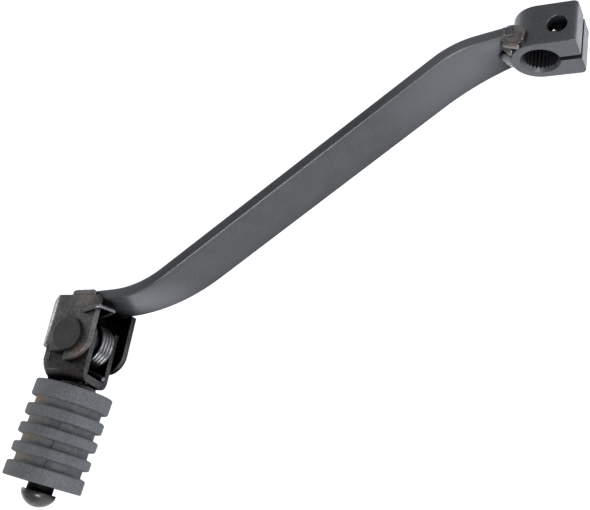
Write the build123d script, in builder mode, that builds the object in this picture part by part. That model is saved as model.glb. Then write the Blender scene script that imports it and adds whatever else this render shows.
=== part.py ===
from build123d import *
import os
from math import cos, radians, sin, tan

# Motorcycle gear shift lever with a folding, sprung toe peg.
# Millimetres. The origin is on the splined bore's axis, near the middle of the hub.
# +X runs forward from the shift shaft to the toe peg, +Y runs outboard along the shift
# shaft's axis, and +Z is up and along the pivot pin.

# Hub, clamped on the shift shaft
hub_outboard = 6.8
hub_inboard = 8.2
hub_length = hub_outboard + hub_inboard
hub_half_height = 9.3
hub_rear = 12.9
hub_rear_round = 1.6
hub_rim_round = 0.4
spline_teeth = 28
spline_crest_radius = 5.45
spline_root_radius = 5.85
groove_half_diagonal = 0.6
bore_mouth_radius = 6.45
bore_mouth_depth = 1.6
bore_mouth_taper = 34.0
slit_width = 2.0
pinch_x = -6.85
pinch_clearance_radius = 3.2
pinch_countersink_radius = 3.3
pinch_countersink_angle = 90.0
pinch_thread_radius = 2.55

# Arm, a flat bar bent twice
bar_width = 20.0
bar_thickness = 4.0
hub_end_angle = 10.0
toe_end_angle = 5.0
bar_hub_end_x = 7.4
bar_toe_end_x = 159.0
bar_bends = ((24.8, 0.0), (129.8, 85.7))
bar_bend_radii = (42.0, 50.0)
bar_edge_round = 0.8

# Pivot of the folding peg, and the fixed clevis that carries it
pivot_x = 153.6
pivot_y = 105.8
sheet = 2.5
clevis_inner_half = bar_width / 2
clevis_outer_half = clevis_inner_half + sheet
clevis_web_outer = 13.2
clevis_bend_radius = 5.0
clevis_top = -14.8
clevis_corner_cut = 4.2
front_plate_radius = 9.1
rear_plate_radius = 7.3
bend_end = 3.6
relief_width = 1.2
tongue_half_width = 7.6
tongue_centre = 5.8
tongue_end = 13.6

# Pivot pin, spacer sleeve and washer
pin_radius = 3.5
pin_head_radius = 6.0
pin_head_height = 1.9
pin_head_round = 0.4
washer_radius = 6.2
washer_thickness = 1.2
peen_radius = 4.8
peen_height = 1.6
peen_round = 1.2
running_clearance = 0.05
sleeve_radius = 6.2
sleeve_end_clearance = 0.1

# Yoke, the moving bracket inside the clevis
yoke_top = 9.7
yoke_bottom = -7.0
yoke_sheet = 2.7
yoke_half_depth = 8.3
yoke_rear_slant = 2.6
ear_radius = 8.3
yoke_web_outer = 15.2
yoke_bend_radius = 3.6
stop_lip_reach = 10.4
stop_lip_bottom = -3.4
stop_lip_top = 6.0

# Torsion spring
wire_radius = 0.78
coil_radius = 7.5
coil_low = -3.2
coil_pitch = 1.62
coil_turns = 4.376
coil_start_angle = 65.0
fixed_leg_points = ((-10.5, -11.7, 3.9), (-10.9, -10.4, 13.4), (-4.5, -8.4, 13.4))
fixed_leg_radii = (1.6, 1.3)
moving_leg_end = (-6.7, 11.35)

# Weld beads: first and last point of each bead, and its radius
bead_radius = 2.0
hub_bead_radius = 2.7
hub_beads = (
    ((6.3, -1.8, 8.2), (6.3, 3.4, 8.2), hub_bead_radius),
    ((6.3, -2.8, -8.0), (6.3, 1.8, -8.0), hub_bead_radius),
    ((9.3, 3.9, 6.0), (9.6, 2.6, -6.0), bead_radius),
    ((9.3, -2.4, 6.0), (9.3, -4.4, -6.0), bead_radius),
)
hub_weld_bite = 0.5
clevis_beads = (
    ((147.0, 90.0, 10.6), (158.0, 90.4, 10.6), bead_radius),
    ((147.0, 90.0, -10.6), (158.0, 90.4, -10.6), bead_radius),
)
peg_bead_radius = 7.1
peg_bead_slope = 0.6
peg_bead_gap = 0.2

# Toe peg: a steel shaft with a domed end in a ribbed rubber
peg_lean = 6.8
peg_shaft_radius = 6.0
peg_root = 13.7
neck_start = 50.6
dome_start = 53.0
dome_end = 58.2
neck_radius = 4.6
dome_radius = 6.0
dome_rim = 1.2
dome_height = dome_end - dome_start - dome_rim
dome_sphere_radius = (dome_radius**2 + dome_height**2) / (2 * dome_height)
rubber_start = 16.6
rib_starts = (16.6, 25.5, 32.3, 39.0, 45.6)
rib_ends = (22.2, 29.1, 35.6, 42.2, 50.6)
rib_radius = 13.9
core_radius = 11.8
rib_draft = 0.45

pivot_plane = Plane(origin=(pivot_x, pivot_y, 0), x_dir=(1, 0, 0), z_dir=(0, 0, 1))
peg_direction = (sin(radians(peg_lean)), cos(radians(peg_lean)), 0)
peg_axis = Axis((pivot_x, pivot_y, 0), peg_direction)
peg_profile = Plane(
    origin=(pivot_x, pivot_y, 0),
    x_dir=(cos(radians(peg_lean)), -sin(radians(peg_lean)), 0),
    z_dir=(0, 0, 1),
)

os.makedirs("parts", exist_ok=True)


# Hub: a D-shaped block with a serrated bore, a slit and a cross hole for the pinch bolt
with BuildPart() as hub:
    with BuildSketch(Plane.XZ.offset(-hub_outboard)):
        Circle(hub_half_height)
        with Locations((-hub_rear / 2, 0)):
            Rectangle(hub_rear, 2 * hub_half_height)
    extrude(amount=hub_length)
    rear_edges = hub.edges().filter_by(Axis.Y).group_by(Axis.X)[0]
    fillet(rear_edges, hub_rear_round)
    rims = hub.edges().filter_by(Axis.Y, reverse=True)
    fillet(rims, hub_rim_round)
    with BuildSketch(Plane.XZ.offset(-hub_outboard)):
        Circle(spline_crest_radius)
        with PolarLocations(spline_root_radius - groove_half_diagonal, spline_teeth):
            RegularPolygon(groove_half_diagonal, 4)
    extrude(amount=hub_length, mode=Mode.SUBTRACT)
    with BuildSketch(Plane(origin=(0, hub_outboard, 0), x_dir=(1, 0, 0), z_dir=(0, -1, 0))):
        Circle(bore_mouth_radius)
    extrude(amount=bore_mouth_depth, taper=bore_mouth_taper, mode=Mode.SUBTRACT)
    with Locations((-hub_rear / 2, 0, 0)):
        Box(hub_rear, 2 * hub_length, slit_width, mode=Mode.SUBTRACT)
    with Locations((pinch_x, 0, hub_half_height)):
        CounterSinkHole(
            pinch_clearance_radius, pinch_countersink_radius, hub_half_height, pinch_countersink_angle
        )
    with Locations((pinch_x, 0, 0)):
        Hole(pinch_thread_radius, hub_half_height)
hub.part.label = "hub"
export_step(hub.part, "parts/hub.step")


hub_bend, toe_bend = bar_bends
hub_run = hub_bend[0] - bar_hub_end_x
toe_run = bar_toe_end_x - toe_bend[0]
bar_hub_end = (bar_hub_end_x, hub_bend[1] - hub_run * tan(radians(hub_end_angle)))
bar_toe_end = (bar_toe_end_x, toe_bend[1] + toe_run * tan(radians(toe_end_angle)))

# Arm: the flat bar, drawn along its inboard face, welded to the hub's round side
with BuildPart() as arm:
    with BuildSketch(Plane.XY.offset(-bar_width / 2)):
        with BuildLine():
            FilletPolyline(bar_hub_end, hub_bend, toe_bend, bar_toe_end, radius=list(bar_bend_radii))
            offset(amount=bar_thickness, side=Side.LEFT)
        make_face()
    extrude(amount=bar_width)
    for rims in (arm.edges().group_by(Axis.Z)[0], arm.edges().group_by(Axis.Z)[-1]):
        fillet(rims.filter_by(lambda edge: edge.length > bar_thickness + bar_edge_round), bar_edge_round)
    with BuildSketch(Plane.XZ.offset(-bar_width)):
        Circle(hub_half_height)
    extrude(amount=3 * bar_width, mode=Mode.SUBTRACT)
arm.part.label = "arm"
export_step(arm.part, "parts/arm.step")


# Fixed clevis: a U-bent bracket, open to the rear, with a stop tongue below its web
with BuildPart() as clevis:
    with BuildSketch(Plane.XZ.offset(-pivot_y - clevis_top)):
        with BuildLine():
            Polyline(
                (pivot_x - front_plate_radius, clevis_outer_half),
                (pivot_x + clevis_web_outer, clevis_outer_half),
                (pivot_x + clevis_web_outer, -clevis_outer_half),
                (pivot_x - rear_plate_radius, -clevis_outer_half),
                (pivot_x - rear_plate_radius, -clevis_inner_half),
                (pivot_x + clevis_web_outer - sheet, -clevis_inner_half),
                (pivot_x + clevis_web_outer - sheet, clevis_inner_half),
                (pivot_x - front_plate_radius, clevis_inner_half),
                close=True,
            )
        make_face()
    extrude(amount=-(tongue_end - clevis_top))
    web_edges = clevis.edges().filter_by(Axis.Y).filter_by(lambda edge: edge.center().X > pivot_x)
    outer_bends = web_edges.group_by(Axis.X)[-1]
    inner_bends = web_edges.group_by(Axis.X)[0]
    fillet(outer_bends, clevis_bend_radius)
    fillet(inner_bends, clevis_bend_radius - sheet)
    for side, plate_radius in ((1, front_plate_radius), (-1, rear_plate_radius)):
        with BuildSketch(pivot_plane.offset(side * clevis_inner_half)):
            with Locations((clevis_web_outer - clevis_bend_radius, 0)):
                Rectangle(4 * clevis_web_outer, tongue_end, align=(Align.MAX, Align.MIN))
            Circle(plate_radius, mode=Mode.SUBTRACT)
        extrude(amount=side * sheet, mode=Mode.SUBTRACT)
        with BuildSketch(pivot_plane.offset(side * tongue_half_width)):
            with Locations((clevis_web_outer, bend_end + tongue_end)):
                Rectangle(2 * clevis_bend_radius + relief_width, 2 * tongue_end)
        extrude(amount=side * clevis_outer_half, mode=Mode.SUBTRACT)
    with BuildSketch(Plane.YZ.offset(pivot_x)):
        with Locations((pivot_y + tongue_centre + tongue_end, 0)):
            Rectangle(2 * tongue_end, 4 * tongue_half_width)
        with Locations((pivot_y + tongue_centre, 0)):
            Circle(tongue_end - tongue_centre, mode=Mode.SUBTRACT)
    extrude(amount=2 * clevis_web_outer, mode=Mode.SUBTRACT)
    with BuildSketch(pivot_plane.offset(-2 * clevis_outer_half)):
        with BuildLine():
            Polyline(
                (clevis_web_outer - clevis_corner_cut, clevis_top),
                (clevis_web_outer, clevis_top),
                (clevis_web_outer, clevis_top + clevis_corner_cut),
                close=True,
            )
        make_face()
    extrude(amount=4 * clevis_outer_half, mode=Mode.SUBTRACT)
    with Locations((pivot_x, pivot_y, 0)):
        Cylinder(pin_radius, 4 * clevis_outer_half, mode=Mode.SUBTRACT)
clevis.part.label = "clevis"
export_step(clevis.part, "parts/clevis.step")

# Pivot pin: a flat-headed pin whose lower end is peened over a washer
with BuildPart() as pivot_pin:
    with BuildSketch(pivot_plane.offset(clevis_outer_half)):
        Circle(pin_head_radius)
    extrude(amount=pin_head_height)
    fillet(pivot_pin.edges().group_by(Axis.Z)[-1], pin_head_round)
    with BuildSketch(pivot_plane.offset(clevis_outer_half)):
        Circle(pin_radius)
    extrude(amount=-(2 * clevis_outer_half + washer_thickness))
    with BuildSketch(pivot_plane.offset(-clevis_outer_half - washer_thickness)):
        Circle(peen_radius)
    extrude(amount=-peen_height)
    fillet(pivot_pin.edges().group_by(Axis.Z)[0], peen_round)
pivot_pin.part.label = "pivot_pin"
export_step(pivot_pin.part, "parts/pivot_pin.step")

# Washer under the peened end
with BuildPart() as pin_washer:
    with BuildSketch(pivot_plane.offset(-clevis_outer_half)):
        Circle(washer_radius)
        Circle(pin_radius, mode=Mode.SUBTRACT)
    extrude(amount=-washer_thickness)
pin_washer.part.label = "pin_washer"
export_step(pin_washer.part, "parts/pin_washer.step")

# Spacer sleeve that carries the spring and keeps the yoke's ears apart
with BuildPart() as spacer_sleeve:
    with BuildSketch(pivot_plane.offset(yoke_bottom + yoke_sheet + sleeve_end_clearance)):
        Circle(sleeve_radius)
        Circle(pin_radius + running_clearance, mode=Mode.SUBTRACT)
    extrude(amount=yoke_top - yoke_bottom - 2 * yoke_sheet - 2 * sleeve_end_clearance)
spacer_sleeve.part.label = "spacer_sleeve"
export_step(spacer_sleeve.part, "parts/spacer_sleeve.step")

# Yoke: the moving U-bent bracket, its ears around the pin and its web towards the peg
with BuildPart() as yoke:
    with BuildSketch(Plane.YZ.offset(pivot_x - yoke_half_depth)):
        with BuildLine():
            Polyline(
                (pivot_y - ear_radius, yoke_top),
                (pivot_y + yoke_web_outer, yoke_top),
                (pivot_y + yoke_web_outer, yoke_bottom),
                (pivot_y - ear_radius, yoke_bottom),
                (pivot_y - ear_radius, yoke_bottom + yoke_sheet),
                (pivot_y + yoke_web_outer - yoke_sheet, yoke_bottom + yoke_sheet),
                (pivot_y + yoke_web_outer - yoke_sheet, yoke_top - yoke_sheet),
                (pivot_y - ear_radius, yoke_top - yoke_sheet),
                close=True,
            )
        make_face()
    extrude(amount=2 * yoke_half_depth)
    outer_bends = yoke.edges().filter_by(Axis.X).group_by(Axis.Y)[-1]
    fillet(outer_bends, yoke_bend_radius)
    with BuildSketch(pivot_plane.offset(yoke_bottom)):
        with Locations((0, -ear_radius / 2)):
            Rectangle(2 * yoke_half_depth, ear_radius)
        Circle(ear_radius, mode=Mode.SUBTRACT)
    extrude(amount=yoke_top - yoke_bottom, mode=Mode.SUBTRACT)
    with BuildSketch(Plane.XZ.offset(-2 * pivot_y)):
        with BuildLine():
            Polyline(
                (pivot_x - yoke_half_depth, yoke_top),
                (pivot_x - yoke_half_depth + yoke_rear_slant, yoke_bottom),
                (pivot_x - yoke_half_depth, yoke_bottom),
                close=True,
            )
        make_face()
    extrude(amount=2 * pivot_y, mode=Mode.SUBTRACT)
    with BuildSketch(pivot_plane.offset(stop_lip_bottom)):
        with Locations((stop_lip_reach / 2, yoke_web_outer - yoke_sheet / 2)):
            Rectangle(stop_lip_reach, yoke_sheet)
    extrude(amount=stop_lip_top - stop_lip_bottom)
    with Locations((pivot_x, pivot_y, 0)):
        Cylinder(pin_radius + running_clearance, 4 * yoke_top, mode=Mode.SUBTRACT)
yoke.part.label = "yoke"
export_step(yoke.part, "parts/yoke.step")

# Peg shaft: a steel rod welded to the yoke, with a neck and a domed end outside the rubber
with BuildPart() as peg_shaft:
    with BuildSketch(peg_profile):
        with BuildLine():
            Polyline(
                (0, peg_root),
                (peg_shaft_radius, peg_root),
                (peg_shaft_radius, neck_start),
                (neck_radius, neck_start),
                (neck_radius, dome_start),
                (dome_radius, dome_start),
                (dome_radius, dome_start + dome_rim),
            )
            RadiusArc((dome_radius, dome_start + dome_rim), (0, dome_end), -dome_sphere_radius)
            Line((0, dome_end), (0, peg_root))
        make_face()
    revolve(axis=peg_axis)
    add(yoke.part, mode=Mode.SUBTRACT)
peg_shaft.part.label = "peg_shaft"
export_step(peg_shaft.part, "parts/peg_shaft.step")

# Weld around the root of the peg shaft
with BuildPart() as peg_weld:
    with BuildSketch(peg_profile):
        with BuildLine():
            Polyline(
                (peg_shaft_radius, peg_root),
                (peg_bead_radius, peg_root),
                (peg_bead_radius, rubber_start - peg_bead_gap - peg_bead_slope),
                (peg_shaft_radius, rubber_start - peg_bead_gap),
                close=True,
            )
        make_face()
    revolve(axis=peg_axis)
    add(yoke.part, mode=Mode.SUBTRACT)
peg_weld.part.label = "peg_weld"
export_step(peg_weld.part, "parts/peg_weld.step")

# Toe rubber: five round ribs with drafted sides, pushed over the peg shaft
with BuildPart() as toe_rubber:
    with BuildSketch(peg_profile):
        with BuildLine():
            outline = [(peg_shaft_radius, rubber_start)]
            for rib_start, rib_end in zip(rib_starts, rib_ends):
                if rib_start > rubber_start:
                    outline.append((core_radius, rib_start - rib_draft))
                outline.append((rib_radius, rib_start))
                outline.append((rib_radius, rib_end))
                if rib_end < neck_start:
                    outline.append((core_radius, rib_end + rib_draft))
            outline.append((peg_shaft_radius, neck_start))
            Polyline(*outline, close=True)
        make_face()
    revolve(axis=peg_axis)
toe_rubber.part.label = "toe_rubber"
export_step(toe_rubber.part, "parts/toe_rubber.step")

# Torsion spring: coils around the sleeve, one leg hooked over the clevis, one on the yoke's web
with BuildLine() as coil_path:
    Helix(pitch=coil_pitch, height=coil_turns * coil_pitch, radius=coil_radius, lefthand=True)
coil = Location((pivot_x, pivot_y, coil_low), (0, 0, coil_start_angle)) * coil_path.line
hook_points = [Vector(pivot_x, pivot_y, 0) + Vector(*point) for point in fixed_leg_points]
with BuildLine() as fixed_leg:
    FilletPolyline(coil @ 1, *hook_points, radius=list(fixed_leg_radii))
with BuildLine() as moving_leg:
    Line(coil @ 0, (pivot_x + moving_leg_end[0], pivot_y + moving_leg_end[1], coil_low))

with BuildPart() as torsion_spring:
    for path in (coil, fixed_leg.line, moving_leg.line):
        with BuildSketch(Plane(origin=path @ 0, z_dir=path % 0)):
            Circle(wire_radius)
        sweep(path=path, is_frenet=True)
torsion_spring.part.label = "torsion_spring"
export_step(torsion_spring.part, "parts/torsion_spring.step")

# Weld that joins the arm to the hub: round-ended beads along the joint
with BuildPart() as hub_weld:
    for first, last, radius in hub_beads:
        run = Vector(*last) - Vector(*first)
        with BuildSketch(Plane(origin=first, z_dir=run)):
            Circle(radius)
        extrude(amount=run.length)
        with Locations(first, last):
            Sphere(radius)
    add(hub.part, mode=Mode.SUBTRACT)
    add(arm.part, mode=Mode.SUBTRACT)
    Cylinder(hub_half_height - hub_weld_bite, 2 * hub_length, rotation=(90, 0, 0), mode=Mode.SUBTRACT)
hub_weld.part.label = "hub_weld"
export_step(hub_weld.part, "parts/hub_weld.step")

# Weld that joins the arm to the clevis, above and below the arm
with BuildPart() as clevis_weld:
    for first, last, radius in clevis_beads:
        run = Vector(*last) - Vector(*first)
        with BuildSketch(Plane(origin=first, z_dir=run)):
            Circle(radius)
        extrude(amount=run.length)
        with Locations(first, last):
            Sphere(radius)
    add(clevis.part, mode=Mode.SUBTRACT)
    add(arm.part, mode=Mode.SUBTRACT)
clevis_weld.part.label = "clevis_weld"
export_step(clevis_weld.part, "parts/clevis_weld.step")
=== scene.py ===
import math

import bmesh
import bpy
from mathutils import Matrix, Quaternion, Vector
from mathutils.noise import noise as noise_value


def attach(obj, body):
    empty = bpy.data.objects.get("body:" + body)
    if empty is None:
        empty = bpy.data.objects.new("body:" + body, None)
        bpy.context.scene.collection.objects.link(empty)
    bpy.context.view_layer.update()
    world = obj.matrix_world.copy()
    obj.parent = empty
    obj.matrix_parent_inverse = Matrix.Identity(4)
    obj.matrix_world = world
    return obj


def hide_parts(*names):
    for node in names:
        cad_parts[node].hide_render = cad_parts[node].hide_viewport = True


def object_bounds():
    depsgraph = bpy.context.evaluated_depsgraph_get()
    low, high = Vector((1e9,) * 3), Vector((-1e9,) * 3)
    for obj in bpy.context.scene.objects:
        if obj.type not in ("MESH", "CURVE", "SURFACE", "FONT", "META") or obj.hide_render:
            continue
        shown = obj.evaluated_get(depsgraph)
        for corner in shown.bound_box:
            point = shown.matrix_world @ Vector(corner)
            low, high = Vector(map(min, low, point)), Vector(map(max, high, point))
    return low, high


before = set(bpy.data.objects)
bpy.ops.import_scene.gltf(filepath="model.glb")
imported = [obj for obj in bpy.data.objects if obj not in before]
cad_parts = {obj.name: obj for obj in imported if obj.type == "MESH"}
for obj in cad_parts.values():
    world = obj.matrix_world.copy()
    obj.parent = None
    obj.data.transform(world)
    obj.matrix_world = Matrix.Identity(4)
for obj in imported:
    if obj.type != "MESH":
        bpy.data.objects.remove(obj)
cad_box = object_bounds()

MM = 0.001

# Camera, in millimetres of the row frame
camera_place = (-72.66, 186.55, 256.09)
camera_aim = (76.76, 72.40, 0.0)
camera_roll = -48.12
camera_lens = 58.10
camera_sensor = 36.0

# Floor
floor_gap = 0.0001
floor_half = 2.0
floor_glow = (0.94, 0.98, 1.06, 1.0)


# Node helpers

def new_material(name):
    """A new material, its node tree and its Principled shader."""
    material = bpy.data.materials.new(name)
    material.use_nodes = True
    tree = material.node_tree
    return material, tree, tree.nodes["Principled BSDF"]


def add_node(tree, kind, inputs=None, **settings):
    """A new node with its settings and input values."""
    node = tree.nodes.new(kind)
    for key, value in settings.items():
        setattr(node, key, value)
    for key, value in (inputs or {}).items():
        if isinstance(value, bpy.types.NodeSocket):
            tree.links.new(value, node.inputs[key])
        else:
            node.inputs[key].default_value = value
    return node


def object_place(tree):
    """The point's place in the row frame, which stays with the piece as it moves."""
    return add_node(tree, "ShaderNodeTexCoord").outputs["Object"]


def noise(tree, size_mm, detail=3.0, roughness=0.55, distortion=0.0, place=None):
    """Noise whose blotches are about size_mm across; gives its value from 0 to 1."""
    place = place or object_place(tree)
    inputs = {
        "Vector": place,
        "Scale": 1 / (size_mm * MM),
        "Detail": detail,
        "Roughness": roughness,
        "Distortion": distortion,
    }
    return add_node(tree, "ShaderNodeTexNoise", inputs).outputs["Fac"]


def remap(tree, value, low, high, new_low, new_high):
    """value from low..high to new_low..new_high, clamped."""
    node = add_node(
        tree,
        "ShaderNodeMapRange",
        {"Value": value, "From Min": low, "From Max": high, "To Min": new_low, "To Max": new_high},
    )
    return node.outputs["Result"]


def mix_colour(tree, factor, first, second):
    """first where factor is 0, second where it is 1; each is a colour or a socket."""
    node = add_node(tree, "ShaderNodeMix", data_type="RGBA")
    sockets = [s for s in node.inputs if s.enabled]
    for socket, value in zip(sockets, (factor, first, second)):
        if isinstance(value, bpy.types.NodeSocket):
            tree.links.new(value, socket)
        elif isinstance(value, (int, float)):
            socket.default_value = value
        else:
            socket.default_value = (*value, 1.0)
    return [s for s in node.outputs if s.enabled][0]


def bump(tree, height, distance_mm, strength, below=None):
    """A bump normal from a height socket."""
    inputs = {"Height": height, "Distance": distance_mm * MM, "Strength": strength}
    if below is not None:
        inputs["Normal"] = below
    return add_node(tree, "ShaderNodeBump", inputs).outputs["Normal"]


def near(tree, place_mm, reach_mm):
    """1 at a place in the row frame, falling to 0 at reach_mm from it."""
    place = object_place(tree)
    offset = add_node(tree, "ShaderNodeVectorMath", {0: place}, operation="DISTANCE")
    offset.inputs[1].default_value = Vector(place_mm) * MM
    return remap(tree, offset.outputs["Value"], 0.0, reach_mm * MM, 1.0, 0.0)


def multiply(tree, first, second):
    """Product of two values."""
    return add_node(tree, "ShaderNodeMath", {0: first, 1: second}, operation="MULTIPLY").outputs["Value"]


def larger(tree, first, second):
    """The larger of two values."""
    return add_node(tree, "ShaderNodeMath", {0: first, 1: second}, operation="MAXIMUM").outputs["Value"]


def crevice(tree, reach_mm, deep_at, open_at):
    """1 where walls within reach_mm leave less than deep_at of the sky open, 0 above open_at."""
    shade = add_node(tree, "ShaderNodeAmbientOcclusion", {"Distance": reach_mm * MM}, samples=12)
    return remap(tree, shade.outputs["AO"], deep_at, open_at, 1.0, 0.0)


# Materials

brown_tint = (0.100, 0.074, 0.062)
sheen_grey = (0.058, 0.062, 0.068)
black_dark, black_light = (0.0125, 0.0137, 0.0150), (0.0230, 0.0250, 0.0280)
speck_size = 0.55
# Reaches of the painted shade in crevices and inside folded sheet
crevice_reach = 3.0
hollow_reach = 26.0


def painted_steel(
    name,
    dark,
    light,
    rough,
    grain=0.6,
    specular=0.6,
    tints=(),
    painted_light=(),
    hollow=None,
    crevice_shade=0.6,
    speck_gain=2.2,
    patchy=0.0,
):
    """Satin black enamel: cloudy tone, fine grain and soft orange peel, with painted shade that blackens and
    dulls its crevices.
    tints lists (place, reach) of brown spots, most browned by a weld's heat; the list after it gives spots
    painted paler, a painted sheen.
    hollow is (deep_at, open_at), the share of open sky inside folded sheet below which it is painted black as
    painted shade, and above which it is not.
    patchy is how much of the gloss is lost in scuffed patches."""
    material, tree, shader = new_material(name)
    clouds = noise(tree, 7.0, detail=5.0)
    specks = noise(tree, speck_size, detail=2.0, roughness=0.7)
    paint = mix_colour(tree, remap(tree, clouds, 0.35, 0.65, 0.0, 1.0), dark, light)
    paint = mix_colour(tree, remap(tree, specks, 0.5, 0.75, 0.0, 0.8), paint, [speck_gain * c for c in light])
    for place_mm, reach_mm in tints:
        uneven = remap(tree, noise(tree, 1.6), 0.35, 0.6, 0.2, 1.0)
        patch = multiply(tree, near(tree, place_mm, reach_mm), uneven)
        paint = mix_colour(tree, patch, paint, brown_tint)
    # Painted sheen: spots painted paler where a bend catches the light
    for place_mm, reach_mm in painted_light:
        paint = mix_colour(tree, near(tree, place_mm, reach_mm), paint, sheen_grey)
    roughness = remap(tree, noise(tree, 2.0, detail=5.0), 0.3, 0.7, *rough)
    # Painted shade: crevices, and with hollow the inside of folded sheet, are painted black, made rough and
    # lose their reflections
    deep = multiply(tree, crevice(tree, crevice_reach, 0.3, 0.85), crevice_shade)
    if hollow:
        deep = larger(tree, deep, crevice(tree, hollow_reach, *hollow))
    paint = mix_colour(tree, deep, paint, (0.0, 0.0, 0.0))
    tree.links.new(paint, shader.inputs["Base Color"])
    tree.links.new(larger(tree, roughness, deep), shader.inputs["Roughness"])
    scuffs = remap(tree, noise(tree, 1.3, detail=4.0, roughness=0.7), 0.42, 0.60, 0.0, patchy)
    dull = larger(tree, deep, scuffs)
    tree.links.new(mix_colour(tree, dull, (1.0, 1.0, 1.0), (0.0, 0.0, 0.0)), shader.inputs["Specular Tint"])
    peel = bump(tree, noise(tree, 1.4, detail=2.0), 0.05, 0.5)
    tree.links.new(bump(tree, specks, 0.05, grain, peel), shader.inputs["Normal"])
    shader.inputs["Specular IOR Level"].default_value = specular
    return material


hub_paint = painted_steel(
    "hub_paint", black_dark, black_light, (0.24, 0.38), specular=0.84, hollow=(0.22, 0.52), patchy=0.12
)
arm_paint = painted_steel(
    "arm_paint",
    (0.010, 0.0108, 0.0118),
    (0.018, 0.0192, 0.0210),
    (0.28, 0.40),
    specular=0.70,
    # painted sheen on the arm's two bends
    painted_light=(((24.0, 6.0, -2.0), 36.0), ((140.0, 92.0, -8.0), 26.0)),
    hollow=(0.35, 0.80),
    crevice_shade=0.3,
    patchy=0.06,
)
clevis_paint = painted_steel(
    "clevis_paint",
    (0.006, 0.006, 0.006),
    (0.036, 0.035, 0.034),
    (0.20, 0.48),
    grain=1.0,
    specular=0.95,
    # the first spot is browned by the weld's heat; the second is a brown patch round the plate's lower arc
    # below the pin
    tints=(((150.0, 92.0, 12.5), 5.0), ((147.5, 112.5, 12.5), 6.0)),
    hollow=(0.4, 0.72),
    crevice_shade=0.95,
    patchy=0.6,
)
pin_paint = painted_steel(
    "pin_paint",
    (0.009, 0.009, 0.009),
    (0.018, 0.018, 0.019),
    (0.36, 0.52),
    grain=0.9,
    specular=0.33,
    hollow=(0.3, 0.8),
    crevice_shade=0.95,
)
weld_paint = painted_steel(
    "weld_paint",
    (0.026, 0.025, 0.025),
    (0.066, 0.060, 0.055),
    (0.12, 0.30),
    grain=0.5,
    specular=0.95,
    tints=(((6.1, 5.4, 9.2), 3.4), ((152.0, 91.0, 12.0), 4.5)),
    crevice_shade=0.8,
)
yoke_paint = painted_steel(
    "yoke_paint",
    (0.002, 0.0018, 0.0018),
    (0.011, 0.009, 0.008),
    (0.18, 0.60),
    grain=1.0,
    specular=0.34,
    hollow=(0.4, 0.72),
    crevice_shade=0.95,
    # lighter specks here are paint grain and also painted glints
    speck_gain=5.0,
    patchy=0.5,
)
sleeve_steel = painted_steel(
    "sleeve_steel",
    (0.010, 0.010, 0.0105),
    (0.020, 0.020, 0.021),
    (0.30, 0.42),
    specular=0.5,
    hollow=(0.4, 0.72),
)
peg_paint = painted_steel(
    "peg_paint",
    (0.002, 0.0015, 0.0015),
    (0.012, 0.009, 0.006),
    (0.16, 0.32),
    grain=0.7,
    specular=0.7,
    hollow=(0.45, 0.85),
    # lighter brown specks here are painted highlight spots
    speck_gain=3.0,
)


def make_spring_steel():
    """Dark drawn wire: bright on its crowns, and painted black between the coils as painted shade."""
    material, tree, shader = new_material("spring_wire")
    tone = mix_colour(tree, noise(tree, 1.2, detail=4.0), (0.03, 0.03, 0.032), (0.24, 0.24, 0.245))
    # Painted shade: the wire is blackened where other parts crowd round it
    gap = crevice(tree, 9.0, 0.22, 0.72)
    tree.links.new(mix_colour(tree, gap, tone, (0.004, 0.004, 0.004)), shader.inputs["Base Color"])
    tree.links.new(remap(tree, noise(tree, 0.8), 0.3, 0.7, 0.14, 0.28), shader.inputs["Roughness"])
    tree.links.new(bump(tree, noise(tree, 0.3, detail=2.0), 0.02, 0.4), shader.inputs["Normal"])
    shader.inputs["Metallic"].default_value = 0.9
    return material


spring_steel = make_spring_steel()


def from_axis(tree, origin_mm, along):
    """Distance in metres of the point from an axis."""
    place = object_place(tree)
    offset = add_node(tree, "ShaderNodeVectorMath", {0: place}, operation="SUBTRACT")
    offset.inputs[1].default_value = Vector(origin_mm) * MM
    reach = add_node(tree, "ShaderNodeVectorMath", {0: offset.outputs["Vector"]}, operation="CROSS_PRODUCT")
    reach.inputs[1].default_value = along
    length = add_node(tree, "ShaderNodeVectorMath", {0: reach.outputs["Vector"]}, operation="LENGTH")
    return length.outputs["Value"]


def along_direction(tree, origin_mm, direction):
    """Distance in metres of the point from origin_mm along a direction."""
    place = object_place(tree)
    offset = add_node(tree, "ShaderNodeVectorMath", {0: place}, operation="SUBTRACT")
    offset.inputs[1].default_value = Vector(origin_mm) * MM
    reach = add_node(tree, "ShaderNodeVectorMath", {0: offset.outputs["Vector"]}, operation="DOT_PRODUCT")
    reach.inputs[1].default_value = direction
    return reach.outputs["Value"]


# Toe peg's axis and the grip's ribs, used by the rubber's finish and by its mesh
pivot = Vector((153.6, 105.8, 0.0))
peg_lean = math.radians(6.8)
peg_along = Vector((math.sin(peg_lean), math.cos(peg_lean), 0.0))
peg_across = Vector((math.cos(peg_lean), -math.sin(peg_lean), 0.0))
peg_up = Vector((0.0, 0.0, 1.0))
rib_starts = (16.6, 25.5, 32.3, 39.0, 45.6)
rib_ends = (22.2, 29.1, 35.6, 42.2, 50.6)
rib_radius = 13.85
groove_radius = 11.8
rubber_bore = 6.02
rib_draft = 0.45
groove_fade = 0.6


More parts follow.
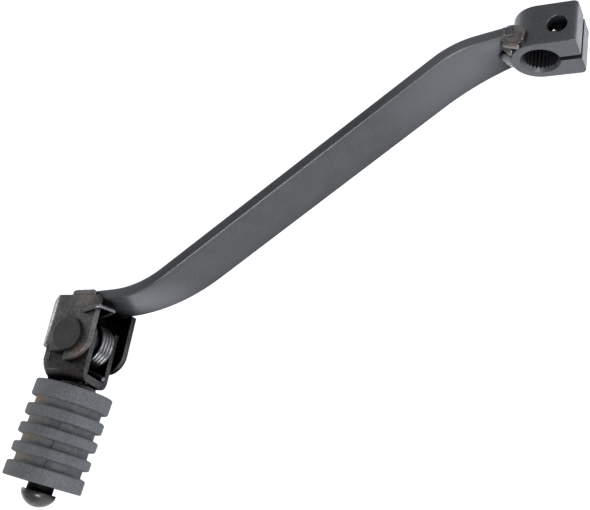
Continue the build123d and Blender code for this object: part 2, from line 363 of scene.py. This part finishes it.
def make_rubber_finish():
    """Matte grey moulded rubber, dusty on its ribs and brown in blotches in parts of its grooves; painted
    light on its +X side and painted shade in its crevices.
    """
    material, tree, shader = new_material("moulded_rubber")
    grain = noise(tree, 0.45, detail=3.0)
    cloud = remap(tree, noise(tree, 6.0, 4.0), 0.35, 0.65, 0.0, 1.0)
    base = mix_colour(tree, cloud, (0.054, 0.058, 0.062), (0.074, 0.079, 0.085))
    base = mix_colour(tree, remap(tree, grain, 0.30, 0.50, 0.6, 0.0), base, (0.060, 0.062, 0.065))
    base = mix_colour(tree, remap(tree, grain, 0.50, 0.72, 0.0, 0.6), base, (0.165, 0.170, 0.178))
    station = along_direction(tree, pivot, peg_along)
    groove = remap(tree, from_axis(tree, pivot, peg_along), 0.0122, 0.0129, 1.0, 0.0)
    after_first = remap(tree, station, (rib_ends[0] - groove_fade) * MM, rib_ends[0] * MM, 0.0, 1.0)
    before_last = remap(tree, station, rib_starts[-1] * MM, (rib_starts[-1] + groove_fade) * MM, 1.0, 0.0)
    groove = multiply(tree, groove, multiply(tree, after_first, before_last))
    front = remap(tree, along_direction(tree, pivot, peg_across), -0.005, 0.004, 0.0, 1.0)
    # Painted light: the +X side is painted lighter
    base = mix_colour(tree, remap(tree, front, 0.0, 1.0, 0.0, 0.45), base, (0.125, 0.126, 0.125))
    # Painted light: the grooves on the +X side are painted paler still
    painted_light = multiply(tree, multiply(tree, groove, front), remap(tree, grain, 0.3, 0.6, 0.4, 0.8))
    base = mix_colour(tree, painted_light, base, (0.185, 0.180, 0.168))
    # Brown blotches in the grooves on the +X side
    blotch = remap(tree, noise(tree, 2.6, 4.0, distortion=1.0), 0.46, 0.60, 0.0, 0.9)
    brown_blotches = multiply(tree, multiply(tree, groove, front), blotch)
    base = mix_colour(tree, brown_blotches, base, (0.190, 0.142, 0.090))
    # Painted shade: crevices are darkened in patches, less on the +X side
    shade_patches = remap(tree, noise(tree, 2.0, 4.0), 0.38, 0.58, 0.15, 1.0)
    painted_shade = multiply(tree, crevice(tree, crevice_reach, 0.45, 0.9), shade_patches)
    painted_shade = multiply(tree, painted_shade, remap(tree, front, 0.0, 1.0, 1.0, 0.25))
    base = mix_colour(tree, painted_shade, base, (0.022, 0.022, 0.023))
    tree.links.new(base, shader.inputs["Base Color"])
    tree.links.new(remap(tree, grain, 0.3, 0.7, 0.72, 0.88), shader.inputs["Roughness"])
    tree.links.new(bump(tree, grain, 0.05, 0.7), shader.inputs["Normal"])
    shader.inputs["Specular IOR Level"].default_value = 0.35
    return material


rubber = make_rubber_finish()

finish_of_node = {
    "hub": hub_paint,
    "arm": arm_paint,
    "hub_weld": weld_paint,
    "clevis": clevis_paint,
    "clevis_weld": weld_paint,
    "pivot_pin": pin_paint,
    "pin_washer": pin_paint,
    "spacer_sleeve": sleeve_steel,
    "torsion_spring": spring_steel,
    "yoke": yoke_paint,
    "peg_shaft": peg_paint,
    "peg_weld": weld_paint,
    "toe_rubber": rubber,
}
for node_name, finish in finish_of_node.items():
    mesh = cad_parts[node_name].data
    mesh.materials.clear()
    mesh.materials.append(finish)

# Broken edges on the pressed and machined pieces
edge_breaks = {"clevis": 0.4, "yoke": 0.4, "pin_washer": 0.2, "peg_shaft": 0.3}
for node_name, width in edge_breaks.items():
    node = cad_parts[node_name]
    joined = node.modifiers.new("joined_corners", "WELD")
    joined.merge_threshold = 0.002 * MM
    edges = node.modifiers.new("broken_edges", "BEVEL")
    edges.width = width * MM
    edges.segments = 2
    edges.limit_method = "ANGLE"
    edges.angle_limit = math.radians(50)
    edges.use_clamp_overlap = True
    edges.harden_normals = True


# Mesh helpers; all points in millimetres of the row frame

def add_piece(name, points, faces, finish, body, stands_for=(), sharp_angle=35.0):
    """A smooth-shaded mesh piece that rides on a CAD body and takes its finish from a material slot."""
    mesh = bpy.data.meshes.new(name)
    mesh.from_pydata([Vector(p) * MM for p in points], [], faces)
    shell = bmesh.new()
    shell.from_mesh(mesh)
    bmesh.ops.recalc_face_normals(shell, faces=shell.faces)
    shell.to_mesh(mesh)
    shell.free()
    mesh.polygons.foreach_set("use_smooth", [True] * len(mesh.polygons))
    mesh.set_sharp_from_angle(angle=math.radians(sharp_angle))
    mesh.materials.append(finish)
    piece = bpy.data.objects.new(name, mesh)
    bpy.context.scene.collection.objects.link(piece)
    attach(piece, body)
    if stands_for:
        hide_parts(*stands_for)
    return piece


def loft(rings, capped=True):
    """Points and faces of a skin through equal closed rings; capped, or joined end to end."""
    count = len(rings[0])
    points = [p for ring in rings for p in ring]
    faces = []
    spans = len(rings) - 1 if capped else len(rings)
    for r in range(spans):
        here = r * count
        after = (r + 1) % len(rings) * count
        for i in range(count):
            j = (i + 1) % count
            faces.append((here + i, here + j, after + j, after + i))
    if capped:
        faces.append(tuple(range(count)))
        faces.append(tuple(range((len(rings) - 1) * count, len(rings) * count)))
    return points, faces


def join(*shells):
    """Several (points, faces) as one."""
    points, faces = [], []
    for shell_points, shell_faces in shells:
        start = len(points)
        points.extend(shell_points)
        faces.extend(tuple(i + start for i in face) for face in shell_faces)
    return points, faces


# Arm: a flat bar whose two bends are skewed, so its ends are slightly twisted

arm_half_width = 10.0
arm_half_thickness = 2.0
arm_edge_round = 0.9
arm_upper_line = ((7.0, 0.50), (26.3, 3.9), (130.4, 88.8), (159.0, 91.3))
arm_lower_line = ((7.0, -2.7), (23.3, 3.2), (126.7, 86.6), (159.0, 90.9))
arm_upper_radii = (28.0, 36.0)
arm_lower_radii = (95.0, 68.0)
arm_run_steps = (6, 60, 8)
arm_bend_steps = 24


def bent_line(corners, radii, run_steps, bend_steps):
    """Stations (point, sideways normal) along a polyline whose two corners are rounded."""
    corners = [Vector(c) for c in corners]
    bends = []
    for before, corner, after, radius in zip(corners, corners[1:], corners[2:], radii):
        inward, outward = (corner - before).normalized(), (after - corner).normalized()
        turn = math.atan2(inward.x * outward.y - inward.y * outward.x, inward.dot(outward))
        reach = radius * math.tan(abs(turn) / 2)
        assert reach < (corner - before).length, "a bend starts before its run"
        side = Vector((-inward.y, inward.x)) * math.copysign(1, turn)
        bends.append((corner - inward * reach, inward, turn, radius, side))
    stations = []
    start, heading = corners[0], (corners[1] - corners[0]).normalized()
    for (bend_start, inward, turn, radius, side), steps in zip(bends, run_steps):
        for k in range(steps):
            stations.append((start.lerp(bend_start, k / steps), heading))
        centre = bend_start + side * radius
        for k in range(bend_steps):
            spin = Matrix.Rotation(turn * k / bend_steps, 2)
            stations.append((centre + spin @ (bend_start - centre), spin @ inward))
        spin = Matrix.Rotation(turn, 2)
        start, heading = centre + spin @ (bend_start - centre), spin @ inward
    steps = run_steps[-1]
    for k in range(steps + 1):
        stations.append((start.lerp(corners[-1], k / steps), heading))
    return [(point, Vector((-along.y, along.x))) for point, along in stations]


def rounded_section(half_width, half_thickness, radius, corner_steps=5, side_steps=8):
    """Points (width, thickness) round a bar's section."""
    section = []
    corners = ((1, 1, 0), (-1, 1, 90), (-1, -1, 180), (1, -1, 270))
    for width_side, thick_side, first in corners:
        centre = (width_side * (half_width - radius), thick_side * (half_thickness - radius))
        for k in range(corner_steps + 1):
            turn = math.radians(first + 90 * k / corner_steps)
            section.append((centre[0] + radius * math.cos(turn), centre[1] + radius * math.sin(turn)))
        if first in (0, 180):
            flat = 2 * (half_width - radius)
            for k in range(1, side_steps):
                section.append((centre[0] - width_side * flat * k / side_steps, thick_side * half_thickness))
    return section


def make_arm():
    """The bar, each of its sections spanning from the lower edge's line to the upper edge's."""
    upper = bent_line(arm_upper_line, arm_upper_radii, arm_run_steps, arm_bend_steps)
    lower = bent_line(arm_lower_line, arm_lower_radii, arm_run_steps, arm_bend_steps)
    section = rounded_section(arm_half_width, arm_half_thickness, arm_edge_round)
    rings = []
    for (high, high_normal), (low, low_normal) in zip(upper, lower):
        ring = []
        for width, thickness in section:
            share = (width + arm_half_width) / (2 * arm_half_width)
            spot = low.lerp(high, share) + low_normal.lerp(high_normal, share) * thickness
            ring.append((spot.x, spot.y, width))
        rings.append(ring)
    points, faces = loft(rings)
    return add_piece("arm_bar", points, faces, arm_paint, "lever", ("arm",))


# Weld beads

bead_steps_round = 28
bead_step = 0.16


def rippled_bead(route, across, half_width, half_height, pitch=1.1, ripple=0.2, seed=0.0, squareness=0.75):
    """A flattened bead along a polyline, with crescent ripples, an uneven edge and rounded ends.
    across is the direction of its width, and pitch and ripple are the ripples' spacing and height."""
    route = [Vector(p) for p in route]
    lengths = [(b - a).length for a, b in zip(route, route[1:])]
    total = sum(lengths)
    steps = max(8, round(total / bead_step))
    across = Vector(across).normalized()
    rings = []
    for k in range(steps + 1):
        travelled = total * k / steps
        rest = travelled
        for (a, b), length in zip(zip(route, route[1:]), lengths):
            if rest <= length or b is route[-1]:
                break
            rest -= length
        spot, along = a.lerp(b, min(1.0, rest / length)), (b - a).normalized()
        side = (across - along * across.dot(along)).normalized()
        up = along.cross(side)
        from_end = min(travelled, total - travelled)
        end_reach = min(half_width, total / 2)
        slope = min(1.0, from_end / end_reach)
        swell = math.sqrt(max(0.02, 1 - (1 - slope) ** 2))
        ring = []
        for i in range(bead_steps_round):
            turn = 2 * math.pi * i / bead_steps_round
            sideways = math.copysign(abs(math.cos(turn)) ** squareness, math.cos(turn))
            upward = math.copysign(abs(math.sin(turn)) ** squareness, math.sin(turn))
            phase = (travelled - 0.9 * half_width * (1 - sideways**2)) / pitch
            crest = abs(math.sin(math.pi * phase)) - 0.6
            lump = noise_value(Vector((travelled * 0.9, 1.7 * sideways, seed + upward)))
            width = half_width * (1 + 0.06 * lump) * swell
            height = half_height * (1 + 0.10 * lump) * swell + ripple * crest * swell * max(0.0, upward)
            ring.append(spot + side * width * sideways + up * height * upward)
        rings.append(ring)
    return loft(rings)


def make_hub_weld():
    """Beads round the arm's end where it meets the hub's round side."""
    beads = (
        rippled_bead(
            ((7.2, -2.6, 8.2), (6.8, 5.4, 8.1)), (1, 0, 0.14), 4.2, 1.15, 1.5, 0.12, seed=1.0, squareness=0.6
        ),
        rippled_bead(((9.65, -0.6, 10.1), (9.4, 2.7, 10.1)), (1, 0, 0), 0.5, 0.5, 1.2, 0.05, seed=1.5),
        rippled_bead(((3.2, 0.6, 9.7), (3.75, 4.8, 9.7)), (1, 0, 0), 0.5, 0.5, 1.2, 0.05, seed=1.7),
        rippled_bead(((10.4, 4.3, 8.2), (4.6, 6.4, 8.4)), (0, 1, 0), 0.75, 1.1, 0.9, 0.3, seed=1.9),
        rippled_bead(((8.6, 3.7, 6.8), (10.0, 4.1, 3.6)), (1, -1, 0.3), 3.0, 1.5, 1.3, 0.12, seed=2.0),
        rippled_bead(
            ((11.0, 3.7, 1.9), (10.4, 3.4, -2.0), (8.4, 3.2, -6.6)),
            (1, -0.25, 0),
            2.9,
            1.3,
            1.5,
            0.05,
            seed=3.0,
        ),
        rippled_bead(
            ((6.3, -3.4, -8.0), (6.3, 3.2, -8.0)),
            (1, 0, -0.14),
            3.8,
            1.8,
            1.4,
            0.25,
            seed=4.0,
            squareness=0.6,
        ),
        rippled_bead(
            ((8.6, -2.9, 6.6), (9.9, -3.4, 2.0), (9.8, -4.4, -3.0), (8.2, -4.6, -6.6)),
            (1, 1, 0),
            2.0,
            1.5,
            1.4,
            0.25,
            seed=5.0,
        ),
    )
    points, faces = join(*beads)
    return add_piece("hub_weld_beads", points, faces, weld_paint, "lever", ("hub_weld",))


def make_clevis_weld():
    """Beads along the arm's two edges, on the ends of the clevis's plates."""
    beads = (
        rippled_bead(((158.0, 90.3, 10.7), (147.6, 89.9, 10.6)), (0, 1, 0.1), 1.6, 1.3, seed=6.0),
        rippled_bead(((147.6, 89.9, -10.6), (158.0, 90.3, -10.7)), (0, 1, -0.1), 1.6, 1.3, seed=7.0),
    )
    points, faces = join(*beads)
    return add_piece("clevis_weld_beads", points, faces, weld_paint, "lever", ("clevis_weld",))


# Toe rubber: a ribbed grip with drafted ribs, a moulding seam and scraps of flash in its grooves

rib_round = 0.6
groove_round = 0.35
seam_angle = 128.5
flash_grooves = (1, 2, 3)


def rounded_outline(corners, steps=4):
    """A polyline's points with each inner corner (x, y, radius) rounded."""
    points = [Vector(corners[0][:2])]
    for before, corner, after in zip(corners, corners[1:], corners[2:]):
        spot, radius = Vector(corner[:2]), corner[2]
        back, onward = (Vector(before[:2]) - spot), (Vector(after[:2]) - spot)
        reach = min(radius, 0.45 * back.length, 0.45 * onward.length)
        first, last = spot + back.normalized() * reach, spot + onward.normalized() * reach
        for k in range(steps + 1):
            share = k / steps
            points.append(first.lerp(spot, share).lerp(spot.lerp(last, share), share))
    points.append(Vector(corners[-1][:2]))
    return points


def make_rubber():
    """The grip, turned round the peg's axis."""
    corners = [(rib_starts[0], rubber_bore, 0), (rib_starts[0], rib_radius, rib_round)]
    for rib, (rib_start, rib_end) in enumerate(zip(rib_starts, rib_ends)):
        if rib:
            corners.append((rib_start - rib_draft, groove_radius, groove_round))
            corners.append((rib_start, rib_radius, rib_round))
        corners.append((rib_end, rib_radius, rib_round))
        if rib < len(rib_starts) - 1:
            corners.append((rib_end + rib_draft, groove_radius, groove_round))
    corners.append((rib_ends[-1], rubber_bore, 0))
    outline = rounded_outline(corners)
    turns = [360 * k / 120 for k in range(120)]
    for seam in (seam_angle, seam_angle + 180):
        turns.extend((seam + step) % 360 for step in (-2.4, -1.6, -0.8, 0.0, 0.8, 1.6, 2.4))
    turns = sorted(set(turns))
    rings = []
    for turn in turns:
        from_seam = min(abs((turn - seam + 180) % 360 - 180) for seam in (seam_angle, seam_angle + 180))
        ridge = 0.14 * max(0.0, 1 - from_seam / 1.2)
        cosine, sine = math.cos(math.radians(turn)), math.sin(math.radians(turn))
        ring = []
        for station, radius in outline:
            lift = ridge if radius > groove_radius - 0.1 else 0.0
            flash = [
                g for g in flash_grooves if rib_ends[g] + rib_draft < station < rib_starts[g + 1] - rib_draft
            ]
            if flash and radius < groove_radius + 0.2:
                lift = 0.5 * max(0.0, 1 - from_seam / 1.7)
            uneven = 0.05 * noise_value(Vector((station * 0.35, cosine * 2.2, sine * 2.2)))
            reach = radius + (lift + uneven if radius > rubber_bore + 0.1 else 0.0)
            spot = pivot + peg_along * station + peg_across * reach * cosine + peg_up * reach * sine
            ring.append(spot)
        rings.append(ring)
    points, faces = loft(rings, capped=False)
    return add_piece("toe_grip", points, faces, rubber, "toe_peg", ("toe_rubber",), 50.0)


# Weld round the peg's root, with a little spatter

ring_centre_radius = 6.15
ring_half_width = 0.95
ring_station = 15.3
ring_ripples = 9
spatter = ((-6.6, 15.2, 5.2, 0.45), (-5.4, 15.25, 5.9, 0.35), (-4.2, 15.2, 5.8, 0.5), (5.6, 15.2, 4.9, 0.4))


def make_peg_weld():
    """A rippled ring between the yoke's web and the rubber."""
    rings = []
    steps = 150
    for k in range(steps):
        turn = 2 * math.pi * k / steps
        outward = peg_across * math.cos(turn) + peg_up * math.sin(turn)
        ring = []
        for i in range(12):
            around = 2 * math.pi * i / 12
            crest = abs(math.sin(ring_ripples * turn + 0.5 * math.cos(around))) - 0.5
            lump = noise_value(Vector((3 * math.cos(turn), 3 * math.sin(turn), math.cos(around))))
            swell = 1 + 0.12 * crest + 0.15 * lump
            reach = ring_centre_radius + ring_half_width * swell * math.cos(around)
            station = ring_station + ring_half_width * swell * math.sin(around)
            ring.append(pivot + peg_along * station + outward * reach)
        rings.append(ring)
    shells = [loft(rings, capped=False)]
    for x, y, z, radius in spatter:
        shells.append(ball(pivot + Vector((x, y, z)), radius))
    points, faces = join(*shells)
    return add_piece("peg_weld_bead", points, faces, weld_paint, "toe_peg", ("peg_weld",))


def ball(centre, radius, rows=8, columns=12):
    """A small uneven ball."""
    rings = []
    for row in range(rows + 1):
        lean = math.pi * (row + 0.15) / (rows + 0.3)
        ring = []
        for column in range(columns):
            turn = 2 * math.pi * column / columns
            reach = radius * (1 + 0.18 * noise_value(Vector((row, column * 0.7, radius * 9))))
            out = math.sin(lean)
            direction = Vector((out * math.cos(turn), out * math.sin(turn), math.cos(lean)))
            ring.append(centre + direction * reach)
        rings.append(ring)
    return loft(rings)


make_arm()
make_hub_weld()
make_clevis_weld()
make_rubber()
make_peg_weld()


# Floor, world and lights

def make_floor():
    """A plain white floor just below the object's lowest point, lit from below like a light table."""
    material, tree, shader = new_material("floor_white")
    shader.inputs["Base Color"].default_value = (0.25, 0.25, 0.25, 1.0)
    shader.inputs["Roughness"].default_value = 0.8
    shader.inputs["Emission Color"].default_value = floor_glow
    shader.inputs["Emission Strength"].default_value = 1.0
    mesh = bpy.data.meshes.new("floor")
    height = cad_box[0].z - floor_gap
    corners = [(x * floor_half, y * floor_half, height) for x, y in ((-1, -1), (1, -1), (1, 1), (-1, 1))]
    mesh.from_pydata(corners, [], [(0, 1, 2, 3)])
    mesh.materials.append(material)
    floor = bpy.data.objects.new("floor", mesh)
    bpy.context.scene.collection.objects.link(floor)


def make_world():
    """A soft studio tent: bright at the horizon, greyer overhead."""
    world = bpy.data.worlds.new("studio")
    bpy.context.scene.world = world
    world.use_nodes = True
    tree = world.node_tree
    direction = add_node(tree, "ShaderNodeTexCoord").outputs["Generated"]
    height = add_node(tree, "ShaderNodeSeparateXYZ", {"Vector": direction}).outputs["Z"]
    tone = mix_colour(tree, remap(tree, height, 0.0, 0.8, 0.0, 1.0), (0.92, 0.96, 1.02), (0.72, 0.72, 0.725))
    background = tree.nodes["Background"]
    tree.links.new(tone, background.inputs["Color"])
    background.inputs["Strength"].default_value = 0.75


def add_area_light(name, place, aim, size, power, colour=(1.0, 1.0, 1.0)):
    """Adds a square soft light; place and aim in millimetres, size in metres, power in watts."""
    data = bpy.data.lights.new(name, "AREA")
    data.size = size
    data.energy = power
    data.color = colour
    light = bpy.data.objects.new(name, data)
    light.location = Vector(place) * MM
    light.rotation_mode = "QUATERNION"
    light.rotation_quaternion = (Vector(aim) - Vector(place)).to_track_quat("-Z", "Y")
    bpy.context.scene.collection.objects.link(light)


def make_camera():
    """The camera, rolled about its line of sight."""
    data = bpy.data.cameras.new("camera")
    data.lens = camera_lens
    data.sensor_width = camera_sensor
    data.clip_start = 0.01
    data.clip_end = 20.0
    camera = bpy.data.objects.new("camera", data)
    camera.location = Vector(camera_place) * MM
    camera.rotation_mode = "QUATERNION"
    sight = (Vector(camera_aim) - Vector(camera_place)).to_track_quat("-Z", "Y")
    camera.rotation_quaternion = sight @ Quaternion((0, 0, 1), math.radians(camera_roll))
    bpy.context.scene.collection.objects.link(camera)
    bpy.context.scene.camera = camera


make_floor()
make_world()
make_camera()
add_area_light("side_softbox", (-500, 40, 160), (40, 30, 0), 0.35, 1.6)
add_area_light("front_softbox", (760, -40, 70), (160, 120, 0), 0.30, 1.5)
add_area_light("edge_softbox", (-170, 500, 350), (80, 60, 0), 0.32, 2.8)
bpy.context.scene.view_settings.view_transform = "Standard"
